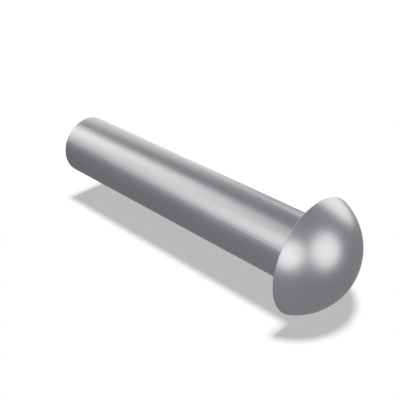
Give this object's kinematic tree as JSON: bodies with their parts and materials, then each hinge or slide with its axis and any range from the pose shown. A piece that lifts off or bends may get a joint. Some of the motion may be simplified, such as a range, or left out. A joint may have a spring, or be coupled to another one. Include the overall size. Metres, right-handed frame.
{
  "type": "solid rivet",
  "caption": "Solid round-head rivet: a plain cylindrical shank with a square-cut tail and a low domed head, formed in one piece from steel wire.",
  "frame": {"origin": "centre of the tail's flat end face, which the rivet stands on", "axes": "+Z along the shank's axis, from the tail towards the domed head; X and Y are any two directions square to it, because the rivet is round"},
  "size_m": [0.007, 0.007, 0.0224],
  "materials": {
    "steel": "satin"
  },
  "bodies": {
    "root": {"rivet": "steel"}
  },
  "joints": []
}
